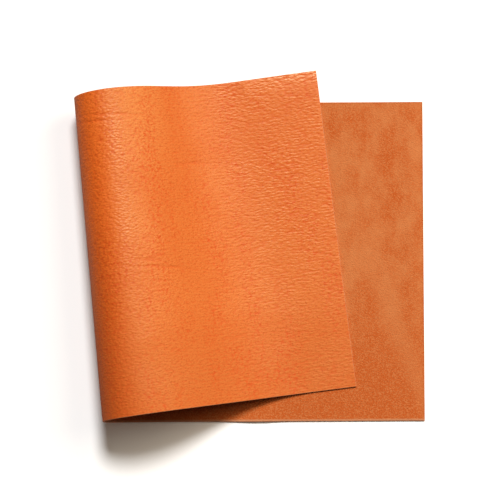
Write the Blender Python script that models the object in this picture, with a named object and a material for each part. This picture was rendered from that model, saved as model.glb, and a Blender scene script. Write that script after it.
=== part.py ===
"""Harness leather panel, one flat cut of 305 x 610 mm, folded over onto itself.

The lower half lies on the floor with its rough flesh side up. The other half comes back
over it through an open loop at the left, so that its smooth grain side shows, and comes
to rest on the lower half, a few degrees askew.

Each point is placed on the flat cut and then carried through a fan of straight bend lines
that each turn a little. That is how a sheet bends that can't stretch: the loop comes out
as a cone, taller at the front than at the back, and the cut keeps its length and width.

+X runs to the right along the lower layer, +Y to the back and +Z up. The origin is on the
floor, below the middle of the folded panel. Sizes are in metres.
"""

import math

import bmesh
import bpy
import numpy as np

# The flat cut
PANEL_WIDTH = 0.305
PANEL_LENGTH = 0.610
THICKNESS = 0.0018

# The fold, with distances along the middle of the cut from its lower end
FOLD_START = 0.253
FOLD_END = 0.565
LAYER_GAP = 0.0005

# The bend lines fan out. Each tilt is from straight across, positive where the line's back end is
# nearer to the lower end. The second is where the panel stops curling over.
FAN_SHARES = (0.0, 0.62, 1.0)
FAN_TILTS = (math.radians(-8.3), math.radians(1.8), math.radians(8.3))

# How sharply the panel bends: share of the way through the fold, radians turned per metre
BENDING = (
    (0.00, 0.0),
    (0.09, 14.0),
    (0.18, 26.2),
    (0.27, 32.5),
    (0.36, 30.4),
    (0.45, 23.4),
    (0.55, 9.6),
    (0.64, -0.7),
    (0.73, -7.1),
    (0.82, -10.4),
    (0.91, -8.2),
    (1.00, 0.0),
)

# The shallow wave in the lower layer's front edge
WAVE_HEIGHT = 0.0020
WAVE_FROM_LOWER_END = 0.160
WAVE_LENGTH = 0.064
WAVE_DEPTH = 0.026

# The flap's back corner sags where nothing lies under it
CORNER_SAG = 0.0016
CORNER_REACH = 0.031

# How finely the sheet is divided
LOWER_STEPS = 22
BEND_LINES = 58
FLAP_STEPS = 5
WIDTH_STEPS = 16

SETTLING_ROUNDS = 8
SETTLING_NUDGE = 1e-5

LEATHER_COLOUR = (0.80, 0.19, 0.045, 1.0)
LEATHER_ROUGHNESS = 0.45
SHARP_CORNER = math.radians(40.0)


def clear_scene():
    for old in list(bpy.data.objects):
        bpy.data.objects.remove(old)


def line_across(along, tilt, share):
    """A point on a line across the flat cut, from its front end, 0, to its back end, 1."""
    across = PANEL_WIDTH * (share - 0.5)
    return np.array([-along + across * math.tan(tilt), PANEL_WIDTH / 2 + across, 0.0])


def turn_about_line(along, tilt, angle):
    """The turn, as a matrix and a shift, that one bend line of the flat cut gives to what is past it."""
    x = math.sin(tilt)
    y = math.cos(tilt)
    cross = np.array([[0.0, 0.0, y], [0.0, 0.0, -x], [-y, x, 0.0]])
    matrix = np.eye(3) + math.sin(angle) * cross + (1.0 - math.cos(angle)) * (cross @ cross)
    on_line = line_across(along, tilt, 0.5)
    return matrix, on_line - matrix @ on_line


def fold(curl, settle, twist):
    """Every bend line with the placement of the leather before it, and the flap's placement.

    curl scales the bending that lifts the panel over, settle the bending that lays it down,
    and twist tilts the last line a little more.
    """
    shares = np.linspace(0.0, 1.0, BEND_LINES)
    first, turning, last = FAN_TILTS
    tilts = np.interp(shares, FAN_SHARES, (first, turning, last + twist))
    bending = np.interp(shares, *zip(*BENDING))
    bending = np.where(bending > 0.0, curl * bending, settle * bending)
    step = (FOLD_END - FOLD_START) / (BEND_LINES - 1)
    matrix = np.eye(3)
    shift = np.array([0.0, 0.0, THICKNESS / 2])
    lines = []
    for share, tilt, bend in zip(shares, tilts, bending):
        along = FOLD_START + share * (FOLD_END - FOLD_START)
        lines.append((along, tilt, matrix, shift))
        turn, turn_shift = turn_about_line(along, tilt, bend * step)
        shift = matrix @ turn_shift + shift
        matrix = matrix @ turn
    return lines, matrix, shift


def flap_misfit(trim):
    """How far the flap is from level, and from its height over the lower layer."""
    matrix, shift = fold(*trim)[1:]
    resting_height = 1.5 * THICKNESS + LAYER_GAP
    corner = matrix @ line_across(PANEL_LENGTH, 0.0, 0.0) + shift
    return np.array([matrix[0, 2], matrix[1, 2], corner[2] - resting_height])


def settled_trim():
    """Small changes to the bending and to the last lines that lay the flap level on the lower layer."""
    trim = np.array([1.0, 1.0, 0.0])
    for _ in range(SETTLING_ROUNDS):
        misfit = flap_misfit(trim)
        slopes = np.empty((3, 3))
        for column in range(3):
            nudged = trim.copy()
            nudged[column] += SETTLING_NUDGE
            slopes[:, column] = (flap_misfit(nudged) - misfit) / SETTLING_NUDGE
        trim = trim - np.linalg.solve(slopes, misfit)
    return trim


def lines_over_panel():
    """Lines across the whole panel: the flat lower layer, the bend lines and the flat flap."""
    bend_lines, flap_matrix, flap_shift = fold(*settled_trim())
    first_tilt, lower_matrix, lower_shift = bend_lines[0][1:]
    last_tilt = bend_lines[-1][1]
    lines = []
    for step in range(LOWER_STEPS):
        share = step / LOWER_STEPS
        lines.append((share * FOLD_START, share * first_tilt, lower_matrix, lower_shift))
    lines.extend(bend_lines)
    for step in range(1, FLAP_STEPS + 1):
        share = step / FLAP_STEPS
        along = FOLD_END + share * (PANEL_LENGTH - FOLD_END)
        lines.append((along, (1.0 - share) * last_tilt, flap_matrix, flap_shift))
    return lines


def shares_across():
    """Places across the width from front, 0, to back, 1, closer together near the two edges."""
    return [0.5 - 0.5 * math.cos(math.pi * step / WIDTH_STEPS) for step in range(WIDTH_STEPS + 1)]


def wave_lift(along, from_front):
    """Height of the wave in the lower layer's front edge."""
    offset = (along - WAVE_FROM_LOWER_END) / (WAVE_LENGTH / 2)
    inward = from_front / WAVE_DEPTH
    if abs(offset) >= 1.0 or inward >= 1.0:
        return 0.0
    return WAVE_HEIGHT * (0.5 + 0.5 * math.cos(math.pi * offset)) * (1.0 - inward) ** 2


def corner_drop(along, point):
    """How far the flap sags where it lies past the lower layer's back edge."""
    overhang = point[1] - PANEL_WIDTH
    if along < FOLD_END or overhang <= 0.0:
        return 0.0
    return CORNER_SAG * (overhang / CORNER_REACH) ** 2


def middle_surface():
    """Points halfway through the leather's thickness: a row for each line across the panel."""
    surface = []
    for along, tilt, matrix, shift in lines_over_panel():
        row = []
        for share in shares_across():
            flat = line_across(along, tilt, share)
            point = matrix @ flat + shift
            point[2] += wave_lift(along, flat[1])
            point[2] -= corner_drop(along, point)
            row.append(point)
        surface.append(row)
    return np.array(surface)


def flesh_directions(surface):
    """Unit directions out of the flesh side, which faces up on the lower layer."""
    along = np.gradient(surface, axis=0)
    across = np.gradient(surface, axis=1)
    out = np.cross(across, along)
    return out / np.linalg.norm(out, axis=2, keepdims=True)


def add_side(mesh, points):
    return [[mesh.verts.new(point) for point in row] for row in points]


def add_rim(mesh, flesh, grain):
    """The cut edge all round, which joins the two sides."""
    last_line = len(flesh) - 1
    last_place = len(flesh[0]) - 1
    around = [(line, 0) for line in range(last_line)]
    around += [(last_line, place) for place in range(last_place)]
    around += [(line, last_place) for line in range(last_line, 0, -1)]
    around += [(0, place) for place in range(last_place, 0, -1)]
    for here, there in zip(around, around[1:] + around[:1]):
        corners = (
            flesh[here[0]][here[1]],
            flesh[there[0]][there[1]],
            grain[there[0]][there[1]],
            grain[here[0]][here[1]],
        )
        mesh.faces.new(corners)


def panel_mesh():
    surface = middle_surface()
    out = flesh_directions(surface)
    flesh_points = surface + out * THICKNESS / 2
    grain_points = surface - out * THICKNESS / 2
    every_point = np.concatenate([flesh_points, grain_points]).reshape(-1, 3)
    middle = (every_point.min(axis=0) + every_point.max(axis=0)) / 2
    floor_origin = np.array([middle[0], middle[1], 0.0])

    mesh = bmesh.new()
    flesh = add_side(mesh, flesh_points - floor_origin)
    grain = add_side(mesh, grain_points - floor_origin)
    for line in range(len(flesh) - 1):
        for place in range(WIDTH_STEPS):
            beside = place + 1
            past = line + 1
            mesh.faces.new((flesh[line][place], flesh[line][beside], flesh[past][beside], flesh[past][place]))
            mesh.faces.new((grain[line][place], grain[past][place], grain[past][beside], grain[line][beside]))
    add_rim(mesh, flesh, grain)
    bmesh.ops.triangulate(mesh, faces=mesh.faces[:])
    bmesh.ops.recalc_face_normals(mesh, faces=mesh.faces[:])
    data = bpy.data.meshes.new("leather_panel")
    mesh.to_mesh(data)
    mesh.free()
    return data


def leather_material():
    material = bpy.data.materials.new("harness_leather")
    material.use_nodes = True
    shader = material.node_tree.nodes["Principled BSDF"]
    shader.inputs["Base Color"].default_value = LEATHER_COLOUR
    shader.inputs["Roughness"].default_value = LEATHER_ROUGHNESS
    shader.inputs["Metallic"].default_value = 0.0
    return material


def make_leather_panel():
    data = panel_mesh()
    data.materials.append(leather_material())
    data.shade_smooth()
    data.set_sharp_from_angle(angle=SHARP_CORNER)
    panel = bpy.data.objects.new("leather_panel", data)
    bpy.context.scene.collection.objects.link(panel)
    return panel


clear_scene()
make_leather_panel()
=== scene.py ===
"""The looks of a folded harness leather panel, laid out as a Blender add-on.

The panel is one flat cut, folded over onto itself through an open loop at the left. This script
makes it once more in a fine mesh, with the shape that the solid has, and gives it three finishes:
the smooth grain side with its wrinkles, the napped flesh side and the bare cut edge.
Sizes are in metres, +X runs to the right along the lower layer, +Y to the back and +Z up.
"""

import math

import bpy
import numpy as np
from mathutils import Matrix, Vector, noise


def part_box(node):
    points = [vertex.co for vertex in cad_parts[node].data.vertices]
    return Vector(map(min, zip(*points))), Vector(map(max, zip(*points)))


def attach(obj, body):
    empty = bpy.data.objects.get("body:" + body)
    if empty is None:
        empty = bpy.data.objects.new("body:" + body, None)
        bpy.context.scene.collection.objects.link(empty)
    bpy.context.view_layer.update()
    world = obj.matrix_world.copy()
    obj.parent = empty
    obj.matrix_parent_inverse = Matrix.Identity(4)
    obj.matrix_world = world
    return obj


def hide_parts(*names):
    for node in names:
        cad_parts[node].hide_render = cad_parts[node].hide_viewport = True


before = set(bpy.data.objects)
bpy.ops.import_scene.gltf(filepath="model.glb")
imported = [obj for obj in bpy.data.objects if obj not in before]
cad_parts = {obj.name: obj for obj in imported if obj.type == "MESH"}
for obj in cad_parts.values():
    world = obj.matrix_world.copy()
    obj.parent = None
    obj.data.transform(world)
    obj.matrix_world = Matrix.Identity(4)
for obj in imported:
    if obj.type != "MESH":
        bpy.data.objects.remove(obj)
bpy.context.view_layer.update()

bl_info = {
    "name": "Folded Leather Panel",
    "version": (1, 0, 0),
    "blender": (4, 5, 0),
    "location": "3D Viewport > Sidebar > Leather",
    "description": "A tan-orange harness leather panel, folded over through an open loop",
    "category": "Add Mesh",
}

# The bend lines fan out. Each tilt is from straight across, positive where the line's back end is
# nearer to the lower end. The second is where the panel stops curling over.
FAN_SHARES = (0.0, 0.62, 1.0)
FAN_TILTS = (math.radians(-8.3), math.radians(1.8), math.radians(8.3))

# How sharply the panel bends: share of the way through the fold, radians turned per metre
BENDING = (
    (0.00, 0.0),
    (0.09, 14.0),
    (0.18, 26.2),
    (0.27, 32.5),
    (0.36, 30.4),
    (0.45, 23.4),
    (0.55, 9.6),
    (0.64, -0.7),
    (0.73, -7.1),
    (0.82, -10.4),
    (0.91, -8.2),
    (1.00, 0.0),
)
LAYER_GAP = 0.0005
SETTLING_ROUNDS = 8
SETTLING_NUDGE = 1e-5

# The shallow wave in the lower layer's front edge
WAVE_FROM_LOWER_END = 0.160
WAVE_LENGTH = 0.064
WAVE_DEPTH = 0.026

# The flap's back corner sags where nothing lies under it
CORNER_SAG = 0.0016
CORNER_REACH = 0.031

# How finely the sheet is divided. The flesh side takes every second line and place.
LOWER_STEPS = 32
BEND_STEPS = 104
FLAP_STEPS = 14
WIDTH_STEPS = 440

# The cut edge's rounded corners: how far round a corner its rings lie, in degrees from the side, and
# the radius at the grain side and at the flesh side
CORNER_TURNS = (45.0, 90.0)
GRAIN_CORNER = 0.00038
FLESH_CORNER = 0.00022

# The knife strayed a little, and cut the back edge hollow near the free end
EDGE_WANDER = 0.00012
HOLLOW_DEPTH = 0.0014
HOLLOW_FROM_LOWER_END = 0.530
HOLLOW_LENGTH = 0.190

# Wrinkles of the grain side: their spacing across the cut, and their usual length along it. From the
# lower end there are none up to QUIET_UNTIL and weak ones from QUIET_PAST. They grow from
# WRINKLES_START to WRINKLES_FULL.
WRINKLE_PITCH = 0.0029
WRINKLE_RUN = 0.013
WRINKLES_START = 0.40
WRINKLES_FULL = 0.52
QUIET_UNTIL = 0.255
QUIET_PAST = 0.300

# How far wrinkles stray sideways, as a share of their spacing: in slow sweeps and at short breaks
SWEEP_SHARE = 1.3
BREAK_SHARE = 0.5

# Shares of the full wrinkle depth: everywhere, in patches, at the free end and at its back
EVEN_DEPTH = 0.22
PATCH_DEPTH = 0.22
END_DEPTH = 0.30
BACK_DEPTH = 0.06
BACK_FROM_SHARE = 0.55

# Creases across the loop: start and end, each as distance along the cut and share of the width
CREASES = (
    ((0.350, 0.938), (0.438, 0.902)),
    ((0.354, 0.915), (0.400, 0.900)),
    ((0.447, 0.757), (0.513, 0.745)),
    ((0.384, 0.452), (0.468, 0.422)),
    ((0.392, 0.470), (0.430, 0.452)),
)
CREASE_HALF_WIDTH = 0.0014
CREASE_WANDER = 0.0012

# Slow random waves over the flat cut: their size along it and across it, and a slice of the noise
KNIFE_WAVES = (0.011, 0.011, 11.3)
SWEEP_WAVES = (0.040, 0.024, 3.1)
BREAK_WAVES = (WRINKLE_RUN, 2.2 * WRINKLE_PITCH, 8.4)
PATCH_WAVES = (0.045, 0.030, 4.4)
CREASE_WAVES = (0.012, 1.0, 6.6)

# The paler streak in the lower layer's nap: where its middle line meets the front edge, measured
# from the lower end, how far that line moves along the cut for each metre across, and its half width
STREAK_START = -0.011
STREAK_SLOPE = 0.42
STREAK_HALF_WIDTH = 0.019

CUT_PLACE = "cut_place"
VALLEY = "valley"

# The view from above
VIEW_TARGET = (0.00052, -0.00501, 0.0)
VIEW_TILT = 0.02677
VIEW_ROLL = -0.00557
VIEW_DISTANCE = 2.1014
VIEW_LENS = 157.44
SENSOR_WIDTH = 36.0

# The stage: directions run from the panel to the light
FLOOR_HALF = 8.0
FLOOR_HEIGHT = -0.0002
KEY_DIRECTION = (0.097, 0.640, 1.0)
KEY_DISTANCE = 6.0
KEY_SOFTNESS = math.radians(15.5)
SIDE_DIRECTION = (0.72, 0.44, 0.80)
SIDE_DISTANCE = 2.0
BACKDROP_COLOUR = (0.95, 0.95, 0.95)


class LeatherCutSettings(bpy.types.PropertyGroup):
    """Sizes of the flat cut and of its fold."""

    width: bpy.props.FloatProperty(
        name="Width", description="Width of the flat cut", default=0.305, unit="LENGTH"
    )
    length: bpy.props.FloatProperty(
        name="Length", description="Length of the flat cut", default=0.610, unit="LENGTH"
    )
    thickness: bpy.props.FloatProperty(
        name="Thickness", description="Thickness of the leather", default=0.0018, unit="LENGTH"
    )
    fold_start: bpy.props.FloatProperty(
        name="Fold start",
        description="Where the loop leaves the floor, along the middle of the cut from its lower end",
        default=0.253,
        unit="LENGTH",
    )
    fold_end: bpy.props.FloatProperty(
        name="Fold end",
        description="Where the flap comes to rest, along the middle of the cut from its lower end",
        default=0.565,
        unit="LENGTH",
    )
    wave_height: bpy.props.FloatProperty(
        name="Wave", description="Height of the wave in the lower front edge",
        default=0.0020, unit="LENGTH",
    )
    wrinkle_depth: bpy.props.FloatProperty(
        name="Wrinkle depth", description="Depth of the grain side's wrinkles",
        default=0.00012, unit="LENGTH",
    )
    crease_depth: bpy.props.FloatProperty(
        name="Crease depth", description="Depth of the creases across the loop",
        default=0.00030, unit="LENGTH",
    )


class LeatherFinishSettings(bpy.types.PropertyGroup):
    """Colours and sheen of the three finishes."""

    grain_colour: bpy.props.FloatVectorProperty(
        name="Grain side", description="Main colour of the grain side",
        default=(0.622, 0.146, 0.023), size=3, subtype="COLOR", min=0.0, max=1.0,
    )
    # The loop's outside is painted a darker, deeper orange than the flat grain, as shade where it turns
    # from the light
    shaded_fold_colour: bpy.props.FloatVectorProperty(
        name="At the fold", description="Colour of the grain side round the outside of the loop",
        default=(0.600, 0.103, 0.009), size=3, subtype="COLOR", min=0.0, max=1.0,
    )
    # Also mixed in as painted shade in the valleys, the relief's pits and towards the flap's back
    deep_colour: bpy.props.FloatVectorProperty(
        name="Deep orange", description="Colour of the grain side's mottles and valleys",
        default=(0.580, 0.066, 0.004), size=3, subtype="COLOR", min=0.0, max=1.0,
    )
    flesh_colour: bpy.props.FloatVectorProperty(
        name="Flesh side", description="Main colour of the flesh side",
        default=(0.478, 0.088, 0.010), size=3, subtype="COLOR", min=0.0, max=1.0,
    )
    nap_colour: bpy.props.FloatVectorProperty(
        name="Brushed nap", description="Colour of the flesh side where its nap is brushed up",
        default=(0.566, 0.180, 0.052), size=3, subtype="COLOR", min=0.0, max=1.0,
    )
    edge_colour: bpy.props.FloatVectorProperty(
        name="Cut edge", description="Colour of the bare cut edge",
        default=(0.56, 0.25, 0.12), size=3, subtype="COLOR", min=0.0, max=1.0,
    )
    grain_roughness: bpy.props.FloatProperty(
        name="Grain roughness", description="Roughness of the waxed grain side",
        default=0.46, min=0.0, max=1.0, subtype="FACTOR",
    )


class LeatherStageSettings(bpy.types.PropertyGroup):
    """The floor and the light."""

    floor_colour: bpy.props.FloatVectorProperty(
        name="Floor", description="Colour of the floor",
        default=(1.0, 1.0, 1.0), size=3, subtype="COLOR", min=0.0, max=1.0,
    )
    bounce_colour: bpy.props.FloatVectorProperty(
        name="Floor bounce", description="Colour of the floor as it lights the leather",
        default=(0.43, 0.37, 0.32), size=3, subtype="COLOR", min=0.0, max=1.0,
    )
    floor_glow: bpy.props.FloatVectorProperty(
        name="Floor glow", description="Weak light that the floor gives off, which lifts the shadows",
        default=(0.049, 0.034, 0.019), size=3, subtype="COLOR", min=0.0, max=1.0,
    )
    key_strength: bpy.props.FloatProperty(
        name="Key light", description="Strength of the distant light from the back",
        default=3.1, min=0.0,
    )
    side_power: bpy.props.FloatProperty(
        name="Side lamp", description="Power of the broad lamp at the right",
        default=25.0, min=0.0, unit="POWER",
    )
    side_width: bpy.props.FloatProperty(
        name="Side width", description="Width of the broad round lamp at the right",
        default=1.4, unit="LENGTH",
    )
    side_colour: bpy.props.FloatVectorProperty(
        name="Side colour", description="Colour of the broad lamp at the right",
        default=(1.0, 0.86, 0.68), size=3, subtype="COLOR", min=0.0, max=1.0,
    )
    fill_strength: bpy.props.FloatProperty(
        name="Fill", description="Strength of the even light from all round", default=0.055, min=0.0
    )


def line_across(cut, along, tilt, share):
    """A point on a line across the flat cut, from its front end, 0, to its back end, 1."""
    across = cut.width * (share - 0.5)
    return np.array([-along + across * math.tan(tilt), cut.width / 2 + across, 0.0])


def turn_about_line(cut, along, tilt, angle):
    """The turn, as a matrix and a shift, that one bend line of the flat cut gives to what is past it."""
    x = math.sin(tilt)
    y = math.cos(tilt)
    cross = np.array([[0.0, 0.0, y], [0.0, 0.0, -x], [-y, x, 0.0]])
    matrix = np.eye(3) + math.sin(angle) * cross + (1.0 - math.cos(angle)) * (cross @ cross)
    on_line = line_across(cut, along, tilt, 0.5)
    return matrix, on_line - matrix @ on_line


def fold(cut, curl, settle, twist):
    """Every bend line with the placement of the leather before it, and the flap's placement.

    curl scales the bending that lifts the panel over, settle the bending that lays it down,
    and twist tilts the last line a little more.
    """
    shares = np.linspace(0.0, 1.0, BEND_STEPS + 1)
    first, turning, last = FAN_TILTS
    tilts = np.interp(shares, FAN_SHARES, (first, turning, last + twist))
    bending = np.interp(shares, *zip(*BENDING))
    bending = np.where(bending > 0.0, curl * bending, settle * bending)
    step = (cut.fold_end - cut.fold_start) / BEND_STEPS
    matrix = np.eye(3)
    shift = np.array([0.0, 0.0, cut.thickness / 2])
    lines = []
    for share, tilt, bend in zip(shares, tilts, bending):
        along = cut.fold_start + share * (cut.fold_end - cut.fold_start)
        lines.append((along, tilt, matrix, shift))
        turn, turn_shift = turn_about_line(cut, along, tilt, bend * step)
        shift = matrix @ turn_shift + shift
        matrix = matrix @ turn
    return lines, matrix, shift


def flap_misfit(cut, trim):
    """How far the flap is from level, and from its height over the lower layer."""
    matrix, shift = fold(cut, *trim)[1:]
    resting_height = 1.5 * cut.thickness + LAYER_GAP
    corner = matrix @ line_across(cut, cut.length, 0.0, 0.0) + shift
    return np.array([matrix[0, 2], matrix[1, 2], corner[2] - resting_height])


def settled_trim(cut):
    """Small changes to the bending and to the last lines that lay the flap level on the lower layer."""
    trim = np.array([1.0, 1.0, 0.0])
    for _ in range(SETTLING_ROUNDS):
        misfit = flap_misfit(cut, trim)
        slopes = np.empty((3, 3))
        for column in range(3):
            nudged = trim.copy()
            nudged[column] += SETTLING_NUDGE
            slopes[:, column] = (flap_misfit(cut, nudged) - misfit) / SETTLING_NUDGE
        trim = trim - np.linalg.solve(slopes, misfit)
    return trim


def lines_over_panel(cut):
    """Lines across the whole panel: the flat lower layer, the bend lines and the flat flap."""
    bend_lines, flap_matrix, flap_shift = fold(cut, *settled_trim(cut))
    first_tilt, lower_matrix, lower_shift = bend_lines[0][1:]
    last_tilt = bend_lines[-1][1]
    lines = []
    for step in range(LOWER_STEPS):
        share = step / LOWER_STEPS
        lines.append((share * cut.fold_start, share * first_tilt, lower_matrix, lower_shift))
    lines.extend(bend_lines)
    for step in range(1, FLAP_STEPS + 1):
        share = step / FLAP_STEPS
        along = cut.fold_end + share * (cut.length - cut.fold_end)
        lines.append((along, (1.0 - share) * last_tilt, flap_matrix, flap_shift))
    return lines


def smooth_step(value, low, high):
    """0 below low, 1 above high and a soft rise between them."""
    share = min(max((value - low) / (high - low), 0.0), 1.0)
    return share * share * (3.0 - 2.0 * share)


def wave_lift(cut, along, from_front):
    """Height of the wave in the lower layer's front edge."""
    offset = (along - WAVE_FROM_LOWER_END) / (WAVE_LENGTH / 2)
    inward = from_front / WAVE_DEPTH
    if abs(offset) >= 1.0 or inward >= 1.0:
        return 0.0
    return cut.wave_height * (0.5 + 0.5 * math.cos(math.pi * offset)) * (1.0 - inward) ** 2


def corner_drop(cut, along, point):
    """How far the flap sags where it lies past the lower layer's back edge."""
    overhang = point[1] - cut.width
    if along < cut.fold_end or overhang <= 0.0:
        return 0.0
    return CORNER_SAG * (overhang / CORNER_REACH) ** 2


def sway(waves, along, across):
    """A slow random value from about -1 to 1 at a place on the flat cut."""
    along_size, across_size, noise_slice = waves
    return noise.noise((along / along_size, across / across_size, noise_slice))


def edge_wander(along, across):
    """How far the knife strayed inward at a place on the cut edge."""
    return EDGE_WANDER * (0.5 + 0.5 * sway(KNIFE_WAVES, along, across))


def back_hollow(along):
    """How far the back edge was cut inward at a distance along the cut."""
    offset = (along - HOLLOW_FROM_LOWER_END) / (HOLLOW_LENGTH / 2)
    if abs(offset) >= 1.0:
        return 0.0
    return HOLLOW_DEPTH * math.cos(math.pi * offset / 2) ** 2


def panel_point(cut, line, share, inset):
    """A point halfway through the leather, and its place on the flat cut, drawn in from the cut edge."""
    along, tilt, matrix, shift = line
    drawn_in = inset + edge_wander(along, share * cut.width)
    margin = drawn_in / cut.width
    share *= 1.0 - back_hollow(along) / cut.width
    share = min(max(share, margin), 1.0 - margin - back_hollow(along) / cut.width)
    if along == 0.0:
        along = drawn_in
    if along == cut.length:
        along = cut.length - drawn_in
    flat = line_across(cut, along, tilt, share)
    point = matrix @ flat + shift
    from_lower_end = -flat[0]
    from_front = flat[1]
    point[2] += wave_lift(cut, from_lower_end, from_front)
    point[2] -= corner_drop(cut, along, point)
    return point, (from_lower_end, from_front)


def flesh_directions(surface):
    """Unit directions out of the flesh side, which faces up on the lower layer."""
    along = np.gradient(surface, axis=0)
    across = np.gradient(surface, axis=1)
    out = np.cross(across, along)
    return out / np.linalg.norm(out, axis=2, keepdims=True)


def wrinkle_valley(along, from_front):
    """How deep in a valley between wrinkles a place lies, from 0 on a crest to 1."""
    sweep = sway(SWEEP_WAVES, along, from_front)
    breaks = sway(BREAK_WAVES, along, from_front)
    waves = from_front / WRINKLE_PITCH + SWEEP_SHARE * sweep + BREAK_SHARE * breaks
    return 0.5 - 0.5 * math.sin(2.0 * math.pi * waves)


def wrinkle_strength(cut, along, from_front):
    """Share of the full depth that the wrinkles have at a place: most towards the flap's free end."""
    patches = 0.5 + 0.5 * sway(PATCH_WAVES, along, from_front)
    towards_end = smooth_step(along, WRINKLES_START, WRINKLES_FULL)
    towards_back = smooth_step(from_front / cut.width, BACK_FROM_SHARE, 1.0)
    at_end = towards_end * (END_DEPTH + BACK_DEPTH * towards_back)
    strength = EVEN_DEPTH + PATCH_DEPTH * patches + at_end
    return strength * smooth_step(along, QUIET_UNTIL, QUIET_PAST)


def crease_share(cut, along, from_front):
    """How deep in one of the creases across the loop a place lies, from 0 to 1."""
    deepest = 0.0
    wander = CREASE_WANDER * sway(CREASE_WAVES, along, 0.0)
    for (start, start_share), (end, end_share) in CREASES:
        run = (along - start) / (end - start)
        if run <= 0.0 or run >= 1.0:
            continue
        middle = cut.width * (start_share + run * (end_share - start_share)) + wander
        distance = abs(from_front - middle) / CREASE_HALF_WIDTH
        deepest = max(deepest, math.sin(math.pi * run) * math.exp(-distance * distance))
    return deepest


def side_points(cut, lines, shares, inset):
    """Middle points and flat places for a grid of lines and shares of the width."""
    surface = []
    places = []
    for line in lines:
        row = [panel_point(cut, line, share, inset) for share in shares]
        surface.append([point for point, _ in row])
        places.append([place for _, place in row])
    return np.array(surface), np.array(places)


def perimeter(last_line, last_place):
    """Line and place numbers all round the cut, from the lower layer's front corner."""
    around = [(line, 0) for line in range(last_line)]
    around += [(last_line, place) for place in range(last_place)]
    around += [(line, last_place) for line in range(last_line, 0, -1)]
    around += [(0, place) for place in range(last_place, 0, -1)]
    return around


class SheetMesh:
    """Points, faces and what is known of each, gathered for one mesh."""

    def __init__(self):
        self.points = []
        self.places = []
        self.valleys = []
        self.faces = []
        self.finishes = []

    def add_point(self, point, place, depth, valley=0.0):
        self.points.append(point)
        self.places.append((place[0], place[1], depth))
        self.valleys.append(valley)
        return len(self.points) - 1

    def add_face(self, corners, finish):
        self.faces.append(corners)
        self.finishes.append(finish)


GRAIN, FLESH, EDGE = range(3)


def add_grain_side(sheet, cut, surface, places, out):
    """The smooth side, with its wrinkles and creases pressed in. Returns point numbers in rows."""
    numbers = []
    for line in range(surface.shape[0]):
        row = []
        for place in range(surface.shape[1]):
            along, from_front = places[line][place]
            strength = wrinkle_strength(cut, along, from_front)
            valley = strength * wrinkle_valley(along, from_front)
            crease = crease_share(cut, along, from_front)
            pressed_in = cut.wrinkle_depth * valley + cut.crease_depth * crease
            point = surface[line][place] - out[line][place] * (cut.thickness / 2 - pressed_in)
            row.append(sheet.add_point(point, places[line][place], 0.0, max(valley, crease)))
        numbers.append(row)
    for line in range(len(numbers) - 1):
        for place in range(len(numbers[0]) - 1):
            corners = (
                numbers[line][place],
                numbers[line + 1][place],
                numbers[line + 1][place + 1],
                numbers[line][place + 1],
            )
            sheet.add_face(corners, GRAIN)
    return numbers


def add_flesh_side(sheet, cut, surface, places, out):
    """The napped side. Returns point numbers in rows, for every second line and place."""
    numbers = []
    for line in range(0, surface.shape[0], 2):
        row = []
        for place in range(0, surface.shape[1], 2):
            point = surface[line][place] + out[line][place] * cut.thickness / 2
            row.append(sheet.add_point(point, places[line][place], cut.thickness))
        numbers.append(row)
    for line in range(len(numbers) - 1):
        for place in range(len(numbers[0]) - 1):
            corners = (
                numbers[line][place],
                numbers[line][place + 1],
                numbers[line + 1][place + 1],
                numbers[line + 1][place],
            )
            sheet.add_face(corners, FLESH)
    return numbers


def edge_profile(cut):
    """The cut edge's section from the grain side to the flesh side: how far in and how deep."""
    profile = []
    for turn in CORNER_TURNS:
        angle = math.radians(turn)
        profile.append((GRAIN_CORNER * (1.0 - math.sin(angle)), GRAIN_CORNER * (1.0 - math.cos(angle))))
    for turn in reversed(CORNER_TURNS):
        angle = math.radians(turn)
        depth = cut.thickness - FLESH_CORNER * (1.0 - math.cos(angle))
        profile.append((FLESH_CORNER * (1.0 - math.sin(angle)), depth))
    return profile


def add_cut_edge(sheet, cut, lines, shares, out, grain, flesh):
    """The cut edge all round, in rings from the grain side's border to the flesh side's."""
    around = perimeter(len(lines) - 1, len(shares) - 1)
    rings = [[grain[line][place] for line, place in around]]
    for inset, depth in edge_profile(cut):
        ring = []
        for line, place in around:
            point, on_cut = panel_point(cut, lines[line], shares[place], inset)
            point = point + out[line][place] * (depth - cut.thickness / 2)
            ring.append(sheet.add_point(point, on_cut, depth))
        rings.append(ring)
    count = len(around)
    for above, below in zip(rings, rings[1:]):
        for here in range(count):
            there = (here + 1) % count
            sheet.add_face((above[here], below[here], below[there], above[there]), EDGE)
    last = rings[-1]
    for here in range(0, count, 2):
        line, place = around[here]
        next_line, next_place = around[(here + 2) % count]
        corners = (
            last[here],
            flesh[line // 2][place // 2],
            flesh[next_line // 2][next_place // 2],
            last[(here + 2) % count],
            last[here + 1],
        )
        sheet.add_face(corners, EDGE)


def lay_out_bake_map(mesh, sheet, cut):
    """A map that lays the grain side and the flesh side next to each other."""
    bake_map = mesh.uv_layers.new(name="OFBake")
    for polygon, finish in zip(mesh.polygons, sheet.finishes):
        for loop in polygon.loop_indices:
            along, from_front, _ = sheet.places[mesh.loops[loop].vertex_index]
            across = 0.5 * from_front / cut.width
            if finish == FLESH:
                across += 0.5
            bake_map.data[loop].uv = (across, along / cut.length)


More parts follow.
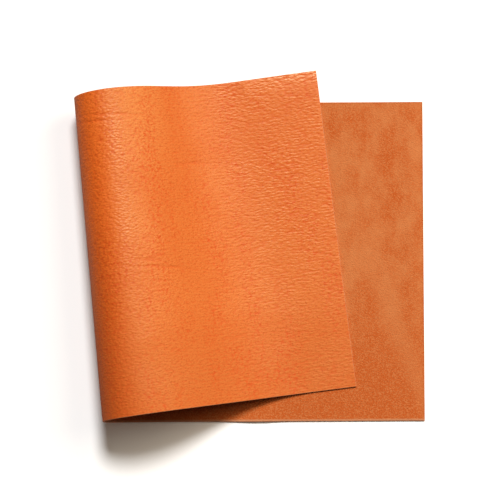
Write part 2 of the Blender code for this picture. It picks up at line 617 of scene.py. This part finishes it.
def build_panel_mesh(cut):
    """The whole panel as one closed mesh in its place in the frame."""
    low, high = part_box("leather_panel")
    front_corner = np.array([high[0], low[1], 0.0])
    lines = lines_over_panel(cut)
    shares = [step / WIDTH_STEPS for step in range(WIDTH_STEPS + 1)]
    grain_surface, grain_places = side_points(cut, lines, shares, GRAIN_CORNER)
    flesh_surface, flesh_places = side_points(cut, lines, shares, FLESH_CORNER)
    out = flesh_directions(flesh_surface)

    sheet = SheetMesh()
    grain = add_grain_side(sheet, cut, grain_surface, grain_places, out)
    flesh = add_flesh_side(sheet, cut, flesh_surface, flesh_places, out)
    add_cut_edge(sheet, cut, lines, shares, out, grain, flesh)

    mesh = bpy.data.meshes.new("folded_leather")
    points = np.array(sheet.points) + front_corner
    mesh.from_pydata(points.tolist(), [], sheet.faces)
    mesh.polygons.foreach_set("material_index", sheet.finishes)
    mesh.shade_smooth()
    places = mesh.attributes.new(CUT_PLACE, "FLOAT_VECTOR", "POINT")
    places.data.foreach_set("vector", np.array(sheet.places, dtype=np.float32).ravel())
    valleys = mesh.attributes.new(VALLEY, "FLOAT", "POINT")
    valleys.data.foreach_set("value", sheet.valleys)
    lay_out_bake_map(mesh, sheet, cut)
    mesh.update()
    return mesh


# Settings of the shared groups. Counts are cells per metre along, across and through the leather.
# Low and High are the cloud's values where a patch starts and where it is full.
MOTTLED_ZONES = {"Count per Metre": (34.0, 11.0, 10.0), "Detail": 2.0, "Low": 0.41, "High": 0.64}
MOTTLES = {"Count per Metre": (330.0, 300.0, 100.0), "Detail": 3.0, "Low": 0.48, "High": 0.63}
GRAIN_HAZE = {"Count per Metre": (22.0, 26.0, 20.0), "Detail": 3.0, "Low": 0.30, "High": 0.72}
PORES = {"Count per Metre": (560.0, 760.0, 300.0), "Detail": 1.0, "Low": 0.54, "High": 0.68}
PEBBLES = {"Count per Metre": (330.0, 540.0, 600.0), "Cells": 0.84, "Waviness": 0.004}
FINE_WRINKLES = {"Count per Metre": (240.0, 560.0, 600.0), "Cells": 0.74, "Waviness": 0.006}
# Paler grain at the cut edges: partly wear, partly a painted highlight where the rounded edge catches
# the light
GRAIN_WEAR_AND_EDGE_HIGHLIGHT = {"Width": 0.0016, "Unevenness": 0.0012}
BRUSHED_NAP = {"Count per Metre": (48.0, 30.0, 20.0), "Detail": 3.0, "Low": 0.30, "High": 0.74}
NAP_SPECKS = {"Count per Metre": (880.0, 880.0, 300.0), "Detail": 2.0, "Low": 0.46, "High": 0.61}
NAP_RELIEF = {"Count per Metre": (700.0, 700.0, 500.0), "Cells": 0.2}
FLESH_WEAR = {"Width": 0.0035, "Unevenness": 0.0020}
EDGE_FIBRES = {"Count per Metre": (500.0, 500.0, 2600.0), "Detail": 3.0, "Low": 0.30, "High": 0.70}
EDGE_RELIEF = {"Count per Metre": (900.0, 900.0, 3600.0), "Cells": 0.3}

# Where each slow change over a side starts and is full: distances along the cut from its lower end
PAST_FOLD = (0.362, 0.405)
# Painted sheen on top of the loop, near its back: where it rises and where it falls away
PAINTED_SHEEN_STARTS = (0.395, 0.425)
PAINTED_SHEEN_ENDS = (0.462, 0.436)
RUBBED_END = (0.535, 0.595)

# The same across the cut: distances from its front edge
# Painted shade on the grain side towards its front edge
PAINTED_SHADE_FRONT = (0.11, 0.02)
DULL_FRONT = (0.17, 0.02)
PARED_FRONT = (0.0026, 0.0012)
# Where the flesh side's paler patches are painted in more strongly towards the back, as light
NAP_PAINTED_LIGHT_BACK = (0.045, 0.14)
# The fold colour is painted lighter towards the back, as light
PAINTED_LIGHT_FOLD_BACK = (0.0, 0.30)
# How far towards the back the painted sheen on top of the loop comes to full strength
PAINTED_SHEEN_BACK = (0.20, 0.29)
# Painted shade on the wrinkled flap towards its back
PAINTED_SHADE_BACK = (0.10, 0.26)
RUBBED_BACK = (0.289, 0.303)

# The relief's heights between which its pits are painted darker, as shade
PAINTED_SHADE_PIT_HEIGHTS = (0.54, 0.26)

# The most that each effect mixes into the colour below it
# Painted sheen on top of the loop
PAINTED_SHEEN_SHARE = 0.95
# Painted shade towards the front edge
PAINTED_SHADE_FRONT_SHARE = 0.50
MOTTLE_SHARE = 0.85
# Deeper orange in the wrinkles' valleys and the creases: partly the grain's own colour, partly painted
# shade
VALLEY_COLOUR_AND_SHADE_SHARE = 0.42
# Painted shade in the relief's pits
PAINTED_SHADE_PIT_SHARE = 0.36
# Painted shade on the flap towards its back
PAINTED_SHADE_BACK_SHARE = 0.17
PORE_SHARE = 0.52
# Paler grain at the cut edges: partly wear, partly painted highlight
GRAIN_WEAR_AND_EDGE_HIGHLIGHT_SHARE = 0.45
# The flesh side's paler patches at the front and at the back: painted light, stronger at the back
NAP_PAINTED_LIGHT_FRONT_SHARE = 0.05
NAP_PAINTED_LIGHT_BACK_SHARE = 0.92
STREAK_SHARE = 0.45
SPECK_SHARE = 0.72
FLESH_WEAR_SHARE = 0.5
PARED_SHARE = 0.75

# Tones of the main colours: what their red, green and blue are multiplied by
HAZE_TONE = (1.03, 1.10, 1.25)
# A paler, yellower orange: painted sheen
PAINTED_SHEEN_TONE = (1.08, 1.40, 1.90)
# A darker orange: painted shade
PAINTED_SHADE_FRONT_TONE = (0.86, 0.86, 0.86)
# A lighter orange: painted light on the loop's outside towards its back
PAINTED_LIGHT_FOLD_TONE = (1.44, 1.44, 1.44)
PORE_TONE = (0.70, 0.70, 0.70)
FLESH_WEAR_TONE = (0.55, 0.55, 0.55)

# What is taken from the grain side's roughness or added to it
HAZE_GLOSS = 0.04
HAZE_DULLNESS = 0.06
FRONT_DULLNESS = 0.20
RUBBED_GLOSS = 0.18

# How deep the fine reliefs are
GRAIN_RELIEF_DEPTH = 0.00045
NAP_DEPTH = 0.00090
EDGE_RELIEF_DEPTH = 0.00008
EDGE_RELIEF_STRENGTH = 0.8

# Even values of each shader
GRAIN_SHADER = {"Specular IOR Level": 0.48, "Specular Tint": (0.80, 0.92, 0.58, 1.0)}
FLESH_SHADER = {
    "Roughness": 0.92,
    "Specular IOR Level": 0.2,
    "Sheen Weight": 0.15,
    "Sheen Roughness": 0.5,
}
EDGE_SHADER = {"Roughness": 0.75}
FLOOR_SHADER = {"Roughness": 0.95, "Specular IOR Level": 0.0, "Emission Strength": 1.0}

# How the nodes are laid out on the sheet that shows them
NODES_IN_ROW = 8
NODE_SPACING = 260


def add_node(tree, kind, **settings):
    """A node of a kind with its settings, laid out in rows in the order in which nodes are made."""
    node = tree.nodes.new(kind)
    row, column = divmod(len(tree.nodes), NODES_IN_ROW)
    node.location = (column * NODE_SPACING, -(row + 1) * NODE_SPACING)
    for name, value in settings.items():
        setattr(node, name, value)
    return node


def feed(tree, value, socket):
    """Give a socket its value, from another socket or as plain numbers."""
    if isinstance(value, bpy.types.NodeSocket):
        tree.links.new(value, socket)
    else:
        socket.default_value = value


def worked_out(tree, operation, first, second=None, kind="ShaderNodeMath"):
    """The result of a sum on one or two values, each a socket or plain numbers."""
    node = add_node(tree, kind, operation=operation)
    feed(tree, first, node.inputs[0])
    if second is not None:
        feed(tree, second, node.inputs[1])
    return node.outputs[0]


def times(tree, first, second):
    """The product of two values."""
    return worked_out(tree, "MULTIPLY", first, second)


def vector_result(tree, operation, first, second=None):
    """The result of a sum on one or two vectors."""
    return worked_out(tree, operation, first, second, kind="ShaderNodeVectorMath")


def ramp(tree, value, span, start=0.0, end=1.0):
    """A value that goes softly from start to end while the given value crosses the span."""
    node = add_node(tree, "ShaderNodeMapRange", interpolation_type="SMOOTHSTEP")
    names = ("Value", "From Min", "From Max", "To Min", "To Max")
    for name, setting in zip(names, (value, *span, start, end)):
        feed(tree, setting, node.inputs[name])
    return node.outputs["Result"]


def blended(tree, share, first, second):
    """The first value where the share is 0 and the second where it is 1."""
    node = add_node(tree, "ShaderNodeMix", data_type="FLOAT")
    for name, value in (("Factor", share), ("A", first), ("B", second)):
        feed(tree, value, node.inputs[name])
    return node.outputs["Result"]


def mix_colours(tree, share, first, second):
    """The first colour with a share of the second, each a colour socket or three numbers."""
    node = add_node(tree, "ShaderNodeMix", data_type="RGBA")
    sockets = {socket.identifier: socket for socket in node.inputs}
    feed(tree, share, sockets["Factor_Float"])
    for name, colour in (("A_Color", first), ("B_Color", second)):
        if not isinstance(colour, bpy.types.NodeSocket):
            colour = (*colour, 1.0)
        feed(tree, colour, sockets[name])
    return next(socket for socket in node.outputs if socket.identifier == "Result_Color")


def toned(colour, tone):
    """A colour with its red, green and blue each multiplied."""
    return tuple(channel * scale for channel, scale in zip(colour, tone))


def cloud_value(tree, place, scale, detail, roughness):
    """A value that drifts like a cloud from place to place."""
    node = add_node(tree, "ShaderNodeTexNoise", noise_dimensions="3D")
    settings = (("Vector", place), ("Scale", scale), ("Detail", detail), ("Roughness", roughness))
    for name, value in settings:
        feed(tree, value, node.inputs[name])
    return node.outputs["Fac"]


def along_and_across(tree, place):
    """The parts of a place along the flat cut and across it."""
    parts = add_node(tree, "ShaderNodeSeparateXYZ")
    tree.links.new(place, parts.inputs["Vector"])
    return parts.outputs["X"], parts.outputs["Y"]


def new_group(name, output, inputs):
    """A node group that puts out one value, with the sockets that feed it and that it feeds."""
    group = bpy.data.node_groups.new(name, "ShaderNodeTree")
    for label, default in inputs.items():
        kind = "NodeSocketVector" if isinstance(default, tuple) else "NodeSocketFloat"
        socket = group.interface.new_socket(label, in_out="INPUT", socket_type=kind)
        socket.default_value = default
    group.interface.new_socket(output, in_out="OUTPUT", socket_type="NodeSocketFloat")
    start = add_node(group, "NodeGroupInput")
    end = add_node(group, "NodeGroupOutput")
    return group, start.outputs, end.inputs


def patches_group():
    """Soft uneven patches, stretched along or across the cut."""
    inputs = {
        "Place": (0.0, 0.0, 0.0),
        "Count per Metre": (100.0, 100.0, 100.0),
        "Detail": 2.0,
        "Low": 0.4,
        "High": 0.6,
    }
    group, given, result = new_group("Uneven Patches", "Patches", inputs)
    scaled = vector_result(group, "MULTIPLY", given["Place"], given["Count per Metre"])
    cloud = cloud_value(group, scaled, scale=1.0, detail=given["Detail"], roughness=0.6)
    patches = ramp(group, cloud, (given["Low"], given["High"]))
    group.links.new(patches, result["Patches"])
    return group


def edge_wear_group(cut):
    """A mask that rises unevenly to 1 at the cut edges."""
    inputs = {"Place": (0.0, 0.0, 0.0), "Width": 0.002, "Unevenness": 0.001}
    group, given, result = new_group("Cut Edge Wear", "Wear", inputs)
    half_cut = (cut.length / 2, cut.width / 2, 0.0)
    centred = vector_result(group, "SUBTRACT", given["Place"], half_cut)
    from_middle = vector_result(group, "ABSOLUTE", centred)
    inward = vector_result(group, "SUBTRACT", half_cut, from_middle)
    nearest = worked_out(group, "MINIMUM", *along_and_across(group, inward))
    cloud = cloud_value(group, given["Place"], scale=260.0, detail=3.0, roughness=0.5)
    uneven = worked_out(group, "ADD", nearest, times(group, cloud, given["Unevenness"]))
    wear = ramp(group, uneven, (0.0, given["Width"]), start=1.0, end=0.0)
    group.links.new(wear, result["Wear"])
    return group


def fine_relief_group():
    """Height of pebbles, nap or fibres: small cells and finer noise."""
    inputs = {
        "Place": (0.0, 0.0, 0.0),
        "Count per Metre": (600.0, 700.0, 600.0),
        "Cells": 0.5,
        "Waviness": 0.0,
    }
    group, given, result = new_group("Fine Relief", "Height", inputs)
    waves = cloud_value(group, given["Place"], scale=75.0, detail=2.0, roughness=0.5)
    shift = add_node(group, "ShaderNodeCombineXYZ")
    group.links.new(times(group, waves, given["Waviness"]), shift.inputs["Y"])
    wavy = vector_result(group, "ADD", given["Place"], shift.outputs["Vector"])
    scaled = vector_result(group, "MULTIPLY", wavy, given["Count per Metre"])
    cells = add_node(group, "ShaderNodeTexVoronoi", feature="SMOOTH_F1")
    for name, value in (("Vector", scaled), ("Scale", 1.0), ("Smoothness", 0.6)):
        feed(group, value, cells.inputs[name])
    rounded = worked_out(group, "SUBTRACT", 1.0, cells.outputs["Distance"])
    cloud = cloud_value(group, scaled, scale=1.3, detail=3.0, roughness=0.6)
    group.links.new(blended(group, given["Cells"], cloud, rounded), result["Height"])
    return group


def add_group(tree, group, on_cut, settings):
    """What a shared group puts out in a material, with the material's own settings."""
    node = add_node(tree, "ShaderNodeGroup", node_tree=group)
    tree.links.new(on_cut, node.inputs["Place"])
    for name, value in settings.items():
        node.inputs[name].default_value = value
    return node.outputs[0]


def new_finish(name):
    """A material with its tree, its shader and a socket that gives places on the flat cut."""
    material = bpy.data.materials.new(name)
    material.use_nodes = True
    tree = material.node_tree
    place = add_node(tree, "ShaderNodeAttribute", attribute_name=CUT_PLACE)
    return material, tree, tree.nodes["Principled BSDF"], place.outputs["Vector"]


def set_even_values(shader, settings):
    """Set the values of a shader that are the same all over."""
    for name, value in settings.items():
        shader.inputs[name].default_value = value


def complete_finish(tree, shader, colour, relief, depth, settings, strength=1.0):
    """Give a shader its colour, its fine relief of a depth in metres, and its even values."""
    tree.links.new(colour, shader.inputs["Base Color"])
    bump = add_node(tree, "ShaderNodeBump")
    for name, value in (("Strength", strength), ("Distance", depth), ("Height", relief)):
        feed(tree, value, bump.inputs[name])
    tree.links.new(bump.outputs["Normal"], shader.inputs["Normal"])
    set_even_values(shader, settings)


def grain_tones(tree, finish, haze, along, from_front):
    """The grain side's slow changes of orange, from the loop's outside to the flap's free end. Beside
    the random haze they hold painted light and shade: a painted sheen on top of the loop, painted shade
    towards the front edge, and the loop's outside painted darker as shade and lighter towards its back.
    """
    colour = mix_colours(tree, haze, toned(finish.grain_colour, HAZE_TONE), finish.grain_colour)
    # Painted sheen: a paler band on top of the loop near its back, where the light catches it
    on_top = times(tree, ramp(tree, along, PAINTED_SHEEN_STARTS), ramp(tree, along, PAINTED_SHEEN_ENDS))
    painted_sheen = times(tree, on_top, ramp(tree, from_front, PAINTED_SHEEN_BACK, end=PAINTED_SHEEN_SHARE))
    colour = mix_colours(tree, painted_sheen, colour, toned(finish.grain_colour, PAINTED_SHEEN_TONE))
    # Painted shade: the grain side darkens towards its front edge, away from the light at the back
    painted_front_shade = ramp(tree, from_front, PAINTED_SHADE_FRONT, end=PAINTED_SHADE_FRONT_SHARE)
    colour = mix_colours(tree, painted_front_shade, colour, toned(finish.grain_colour, PAINTED_SHADE_FRONT_TONE))
    # The loop's outside: painted shade, lifted by painted light towards its back
    to_back = ramp(tree, from_front, PAINTED_LIGHT_FOLD_BACK)
    shaded_fold = mix_colours(tree, to_back, finish.shaded_fold_colour, toned(finish.shaded_fold_colour, PAINTED_LIGHT_FOLD_TONE))
    return mix_colours(tree, ramp(tree, along, PAST_FOLD), shaded_fold, colour)


def grain_finish(finish, groups):
    """The dyed and waxed grain side: orange with deeper mottles, satin sheen and pebbled grain."""
    material, tree, shader, on_cut = new_finish("grain_side")
    along, from_front = along_and_across(tree, on_cut)
    haze = add_group(tree, groups["patches"], on_cut, GRAIN_HAZE)
    wrinkled = ramp(tree, along, (WRINKLES_START, WRINKLES_FULL))
    pebbles = add_group(tree, groups["relief"], on_cut, PEBBLES)
    wrinkles = add_group(tree, groups["relief"], on_cut, FINE_WRINKLES)
    relief = blended(tree, wrinkled, pebbles, wrinkles)

    zones = add_group(tree, groups["patches"], on_cut, MOTTLED_ZONES)
    mottles = times(tree, zones, add_group(tree, groups["patches"], on_cut, MOTTLES))
    valley = add_node(tree, "ShaderNodeAttribute", attribute_name=VALLEY)
    # Painted shade: the wrinkled flap is mixed darker towards its back
    to_back = times(tree, wrinkled, ramp(tree, from_front, PAINTED_SHADE_BACK))
    deeper = (
        times(tree, mottles, MOTTLE_SHARE),
        # Valleys and creases: partly the grain's own colour, partly painted shade
        times(tree, valley.outputs["Fac"], VALLEY_COLOUR_AND_SHADE_SHARE),
        # Painted shade in the relief's pits
        ramp(tree, relief, PAINTED_SHADE_PIT_HEIGHTS, end=PAINTED_SHADE_PIT_SHARE),
        # Painted shade towards the back
        times(tree, to_back, PAINTED_SHADE_BACK_SHARE),
    )
    colour = grain_tones(tree, finish, haze, along, from_front)
    for share in deeper:
        colour = mix_colours(tree, share, colour, finish.deep_colour)
    pores = times(tree, add_group(tree, groups["patches"], on_cut, PORES), PORE_SHARE)
    colour = mix_colours(tree, pores, colour, toned(finish.deep_colour, PORE_TONE))
    # Partly wear, partly a painted highlight along the rounded cut edges
    worn = times(tree, add_group(tree, groups["wear"], on_cut, GRAIN_WEAR_AND_EDGE_HIGHLIGHT), GRAIN_WEAR_AND_EDGE_HIGHLIGHT_SHARE)
    colour = mix_colours(tree, worn, colour, finish.edge_colour)

    glossy = finish.grain_roughness - HAZE_GLOSS
    dull = finish.grain_roughness + HAZE_DULLNESS
    hazy = ramp(tree, haze, (0.0, 1.0), start=glossy, end=dull)
    duller = worked_out(tree, "ADD", hazy, ramp(tree, from_front, DULL_FRONT, end=FRONT_DULLNESS))
    rubbed = times(tree, ramp(tree, along, RUBBED_END), ramp(tree, from_front, RUBBED_BACK))
    roughness = worked_out(tree, "SUBTRACT", duller, times(tree, rubbed, RUBBED_GLOSS))
    tree.links.new(roughness, shader.inputs["Roughness"])
    complete_finish(tree, shader, colour, relief, GRAIN_RELIEF_DEPTH, GRAIN_SHADER)
    return material


def brushed_streak(tree, along, from_front):
    """A mask of the slanting streak where the nap was brushed paler."""
    slant = times(tree, from_front, STREAK_SLOPE)
    offset = worked_out(tree, "SUBTRACT", along, worked_out(tree, "ADD", slant, STREAK_START))
    return ramp(tree, worked_out(tree, "ABSOLUTE", offset), (STREAK_HALF_WIDTH, 0.0))


def flesh_finish(finish, groups):
    """The rough flesh side: a matt nap, paler where it is brushed up and at the pared front edge. The
    brushed patches grow stronger towards the back: painted light.
    """
    material, tree, shader, on_cut = new_finish("flesh_side")
    along, from_front = along_and_across(tree, on_cut)
    # Painted light: the brushed patches are mixed in more strongly towards the back
    to_back = ramp(tree, from_front, NAP_PAINTED_LIGHT_BACK, NAP_PAINTED_LIGHT_FRONT_SHARE, NAP_PAINTED_LIGHT_BACK_SHARE)
    paler = (
        times(tree, add_group(tree, groups["patches"], on_cut, BRUSHED_NAP), to_back),
        times(tree, brushed_streak(tree, along, from_front), STREAK_SHARE),
        times(tree, add_group(tree, groups["patches"], on_cut, NAP_SPECKS), SPECK_SHARE),
    )
    colour = finish.flesh_colour
    for share in paler:
        colour = mix_colours(tree, share, colour, finish.nap_colour)
    worn = times(tree, add_group(tree, groups["wear"], on_cut, FLESH_WEAR), FLESH_WEAR_SHARE)
    colour = mix_colours(tree, worn, colour, toned(finish.flesh_colour, FLESH_WEAR_TONE))
    pared = ramp(tree, from_front, PARED_FRONT, end=PARED_SHARE)
    colour = mix_colours(tree, pared, colour, finish.edge_colour)
    relief = add_group(tree, groups["relief"], on_cut, NAP_RELIEF)
    complete_finish(tree, shader, colour, relief, NAP_DEPTH, FLESH_SHADER)
    return material


def edge_finish(finish, groups):
    """The bare cut edge: packed fibres, paler than the dyed sides."""
    material, tree, shader, on_cut = new_finish("cut_edge")
    fibres = add_group(tree, groups["patches"], on_cut, EDGE_FIBRES)
    colour = mix_colours(tree, fibres, finish.flesh_colour, finish.edge_colour)
    relief = add_group(tree, groups["relief"], on_cut, EDGE_RELIEF)
    complete_finish(
        tree, shader, colour, relief, EDGE_RELIEF_DEPTH, EDGE_SHADER, strength=EDGE_RELIEF_STRENGTH
    )
    return material


def add_floor(stage):
    """The plain pale floor. It is duller to the light that it sends back to the leather."""
    mesh = bpy.data.meshes.new("floor")
    corners = [
        (-FLOOR_HALF, -FLOOR_HALF, FLOOR_HEIGHT),
        (FLOOR_HALF, -FLOOR_HALF, FLOOR_HEIGHT),
        (FLOOR_HALF, FLOOR_HALF, FLOOR_HEIGHT),
        (-FLOOR_HALF, FLOOR_HALF, FLOOR_HEIGHT),
    ]
    mesh.from_pydata(corners, [], [(0, 1, 2, 3)])
    material = bpy.data.materials.new("pale_floor")
    material.use_nodes = True
    tree = material.node_tree
    shader = tree.nodes["Principled BSDF"]
    path = add_node(tree, "ShaderNodeLightPath")
    colour = mix_colours(tree, path.outputs["Is Camera Ray"], stage.bounce_colour, stage.floor_colour)
    tree.links.new(colour, shader.inputs["Base Color"])
    shader.inputs["Emission Color"].default_value = (*stage.floor_glow, 1.0)
    set_even_values(shader, FLOOR_SHADER)
    mesh.materials.append(material)
    floor = bpy.data.objects.new("floor", mesh)
    bpy.context.scene.collection.objects.link(floor)


def add_light(data, direction, distance):
    """Put a light at a distance in a direction, shining at the origin."""
    light = bpy.data.objects.new(data.name, data)
    place = Vector(direction).normalized() * distance
    light.location = place
    light.rotation_mode = "QUATERNION"
    light.rotation_quaternion = (-place).to_track_quat("-Z", "Y")
    bpy.context.scene.collection.objects.link(light)


def add_key_light(stage):
    """The main light, distant and a little soft, from the back."""
    data = bpy.data.lights.new("key_light", "SUN")
    data.energy = stage.key_strength
    data.angle = KEY_SOFTNESS
    add_light(data, KEY_DIRECTION, KEY_DISTANCE)


def add_side_lamp(stage):
    """A broad warm lamp at the right, which gives the loop its band of sheen."""
    data = bpy.data.lights.new("side_lamp", "AREA")
    data.shape = "DISK"
    data.size = stage.side_width
    data.energy = stage.side_power
    data.color = stage.side_colour
    add_light(data, SIDE_DIRECTION, SIDE_DISTANCE)


def add_even_fill(stage):
    """Weak even light from all round, behind a pale backdrop that only the camera sees."""
    world = bpy.data.worlds.new("even_fill")
    world.use_nodes = True
    tree = world.node_tree
    background = tree.nodes["Background"]
    background.inputs["Strength"].default_value = 1.0
    path = add_node(tree, "ShaderNodeLightPath")
    fill = (stage.fill_strength,) * 3
    colour = mix_colours(tree, path.outputs["Is Camera Ray"], fill, BACKDROP_COLOUR)
    tree.links.new(colour, background.inputs["Color"])
    bpy.context.scene.world = world


def add_camera():
    """The camera over the panel, leaning a little to the front."""
    data = bpy.data.cameras.new("camera")
    data.lens = VIEW_LENS
    data.sensor_width = SENSOR_WIDTH
    back = Vector((0.0, -math.sin(VIEW_TILT), math.cos(VIEW_TILT)))
    right = Vector((1.0, 0.0, 0.0))
    up = back.cross(right)
    axes = Matrix((right, up, back)).transposed().to_4x4()
    camera = bpy.data.objects.new("camera", data)
    place = Vector(VIEW_TARGET) + back * VIEW_DISTANCE
    camera.matrix_world = Matrix.Translation(place) @ axes @ Matrix.Rotation(VIEW_ROLL, 4, "Z")
    bpy.context.scene.collection.objects.link(camera)
    bpy.context.scene.camera = camera


class LEATHER_OT_add_panel(bpy.types.Operator):
    """Make the folded panel with its grain side, flesh side and cut edge"""

    bl_idname = "leather.add_panel"
    bl_label = "Folded Panel"
    bl_options = {"REGISTER", "UNDO"}

    def execute(self, context):
        cut = context.scene.leather_cut
        finish = context.scene.leather_finish
        groups = {
            "patches": patches_group(),
            "wear": edge_wear_group(cut),
            "relief": fine_relief_group(),
        }
        mesh = build_panel_mesh(cut)
        mesh.materials.append(grain_finish(finish, groups))
        mesh.materials.append(flesh_finish(finish, groups))
        mesh.materials.append(edge_finish(finish, groups))
        panel = bpy.data.objects.new("folded_leather", mesh)
        context.scene.collection.objects.link(panel)
        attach(panel, "root")
        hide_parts("leather_panel")
        return {"FINISHED"}


class LEATHER_OT_add_stage(bpy.types.Operator):
    """Add the pale floor, the soft studio light and the camera"""

    bl_idname = "leather.add_stage"
    bl_label = "Studio Stage"
    bl_options = {"REGISTER", "UNDO"}

    def execute(self, context):
        stage = context.scene.leather_stage
        add_floor(stage)
        add_key_light(stage)
        add_side_lamp(stage)
        add_even_fill(stage)
        add_camera()
        context.scene.view_settings.view_transform = "Standard"
        return {"FINISHED"}


class LEATHER_PT_sidebar(bpy.types.Panel):
    """Sizes, colours and the two buttons"""

    bl_idname = "LEATHER_PT_sidebar"
    bl_label = "Folded Leather"
    bl_space_type = "VIEW_3D"
    bl_region_type = "UI"
    bl_category = "Leather"

    def draw(self, context):
        layout = self.layout
        scene = context.scene
        for settings in (scene.leather_cut, scene.leather_finish, scene.leather_stage):
            column = layout.column()
            for name in settings.__annotations__:
                column.prop(settings, name)
        layout.operator(LEATHER_OT_add_panel.bl_idname)
        layout.operator(LEATHER_OT_add_stage.bl_idname)


CLASSES = (
    LeatherCutSettings,
    LeatherFinishSettings,
    LeatherStageSettings,
    LEATHER_OT_add_panel,
    LEATHER_OT_add_stage,
    LEATHER_PT_sidebar,
)


def register():
    for cls in CLASSES:
        bpy.utils.register_class(cls)
    bpy.types.Scene.leather_cut = bpy.props.PointerProperty(type=LeatherCutSettings)
    bpy.types.Scene.leather_finish = bpy.props.PointerProperty(type=LeatherFinishSettings)
    bpy.types.Scene.leather_stage = bpy.props.PointerProperty(type=LeatherStageSettings)


def unregister():
    del bpy.types.Scene.leather_stage
    del bpy.types.Scene.leather_finish
    del bpy.types.Scene.leather_cut
    for cls in reversed(CLASSES):
        bpy.utils.unregister_class(cls)


def main():
    register()
    bpy.ops.leather.add_panel()
    bpy.ops.leather.add_stage()


if __name__ == "__main__":
    main()
